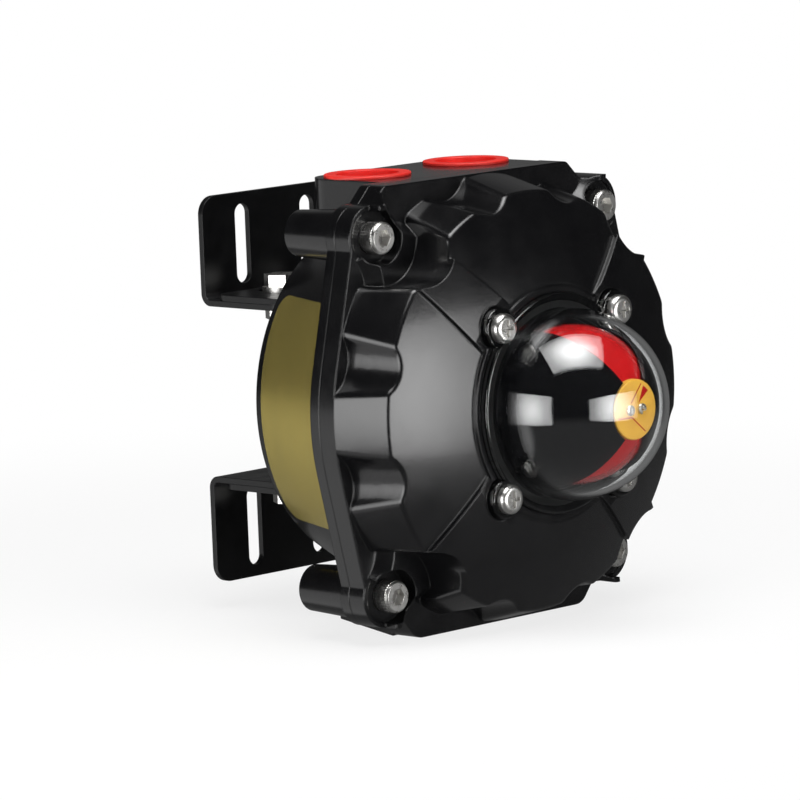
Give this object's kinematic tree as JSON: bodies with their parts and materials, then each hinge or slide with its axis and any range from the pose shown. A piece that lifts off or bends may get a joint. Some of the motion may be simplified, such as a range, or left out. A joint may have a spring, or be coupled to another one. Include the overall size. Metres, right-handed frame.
{
  "type": "valve limit switch box",
  "caption": "Round black limit switch box for a quarter-turn valve: scalloped cover, clear dome over a position indicator, plugged conduit entries, slotted L-foot bracket.",
  "frame": {"origin": "point on the shaft axis in the plane of the bracket's feet, where the actuator's top face is", "axes": "+Y along the shaft from the box towards the actuator, +Z towards the conduit entries, +X to the right when the dome is looked at"},
  "size_m": [0.144, 0.1629, 0.1456],
  "materials": {
    "die_cast": "black gloss enamel over die-cast aluminium",
    "sheet_black": "black semi-gloss powder coat over steel sheet",
    "stainless": "bright stainless steel",
    "zinc_steel": "zinc plated steel",
    "clear": "clear moulded polycarbonate",
    "shroud_black": "glossy black plastic",
    "indicator_yellow": "yellow plastic",
    "indicator_red": "red plastic",
    "plug_red": "soft red plastic",
    "gold_plate": "gold coloured satin foil",
    "seal_rubber": "black nitrile rubber",
    "bronze": "sintered bronze",
    "switch_case": "black thermoset",
    "plunger_red": "red thermoset",
    "cam_red": "red acetal",
    "cam_green": "green acetal",
    "block_grey": "grey polyamide",
    "brass": "tinned brass",
    "roller_white": "natural acetal"
  },
  "bodies": {
    "housing": {"base_housing": "die_cast", "block_screws": "zinc_steel", "bracket_bolts": "stainless", "bracket_nuts": "stainless", "bracket_washers": "stainless", "bridge_screws": "zinc_steel", "chassis_plate": "zinc_steel", "chassis_screws": "zinc_steel", "closed_switch": "switch_case", "cover_bolts": "stainless", "cover_bushing": "bronze", "cover_housing": "die_cast", "cover_seal": "seal_rubber", "dome_gasket": "seal_rubber", "dome_lens": "clear", "dome_screws": "stainless", "front_shaft_seal": "seal_rubber", "ground_screw": "zinc_steel", "indicator_shroud": "shroud_black", "left_conduit_plug": "plug_red", "lever_pins": "stainless", "lower_foot": "sheet_black", "mounting_bridge": "sheet_black", "open_switch": "switch_case", "rear_bushing": "bronze", "rear_shaft_seal": "seal_rubber", "right_conduit_plug": "plug_red", "shroud_screws": "stainless", "side_plate": "gold_plate", "switch_screws": "zinc_steel", "switch_spacer": "block_grey", "switch_terminals": "brass", "terminal_block": "block_grey", "terminal_screws": "zinc_steel", "thrust_washer": "bronze", "upper_foot": "sheet_black"},
    "shaft": {"drive_shaft": "stainless", "shaft_circlip": "zinc_steel", "closed_cam": "cam_red", "open_cam": "cam_green", "cam_spring": "stainless", "indicator_drum": "indicator_yellow", "red_sectors": "indicator_red", "port_disc": "indicator_yellow", "port_disc_marks": "indicator_red", "disc_screws": "stainless"},
    "closed_lever": {"closed_lever": "stainless", "closed_roller_pin": "stainless"},
    "closed_roller": {"closed_roller": "roller_white"},
    "closed_plunger": {"closed_plunger": "plunger_red"},
    "open_lever": {"open_lever": "stainless", "open_roller_pin": "stainless"},
    "open_roller": {"open_roller": "roller_white"},
    "open_plunger": {"open_plunger": "plunger_red"}
  },
  "joints": [
    {"name": "shaft_turn", "type": "hinge", "parent": "housing", "child": "shaft", "pos_m": [0, 0, 0], "axis": [0, -1, 0], "range_deg": [0, 90]},
    {"name": "closed_lever_tilt", "type": "hinge", "parent": "housing", "child": "closed_lever", "pos_m": [0.0197, -0.06715, -0.011], "axis": [0, -1, 0], "range_deg": [0, 10.87]},
    {"name": "open_lever_tilt", "type": "hinge", "parent": "housing", "child": "open_lever", "pos_m": [0.0197, -0.07945, -0.011], "axis": [0, -1, 0], "range_deg": [-10.87, 0]},
    {"name": "closed_plunger_travel", "type": "slide", "parent": "housing", "child": "closed_plunger", "axis": [-1, 0, 0], "range_m": [0, 0.00132]},
    {"name": "open_plunger_travel", "type": "slide", "parent": "housing", "child": "open_plunger", "axis": [-1, 0, 0], "range_m": [-0.00132, 0]},
    {"name": "closed_roller_spin", "type": "hinge", "parent": "closed_lever", "child": "closed_roller", "pos_m": [0.0167, -0.06715, 0], "axis": [0, -1, 0], "continuous": true},
    {"name": "open_roller_spin", "type": "hinge", "parent": "open_lever", "child": "open_roller", "pos_m": [0.01468, -0.07945, -0.00076], "axis": [0, -1, 0], "continuous": true}
  ],
  "couplings": [
    {"joint": "closed_lever_tilt", "follows": "shaft_turn", "ratio": 0.12073},
    {"joint": "open_lever_tilt", "follows": "shaft_turn", "ratio": -0.12073},
    {"joint": "closed_plunger_travel", "follows": "shaft_turn", "m_per_rad": 0.00084006},
    {"joint": "open_plunger_travel", "follows": "shaft_turn", "m_per_rad": -0.00084006}
  ]
}
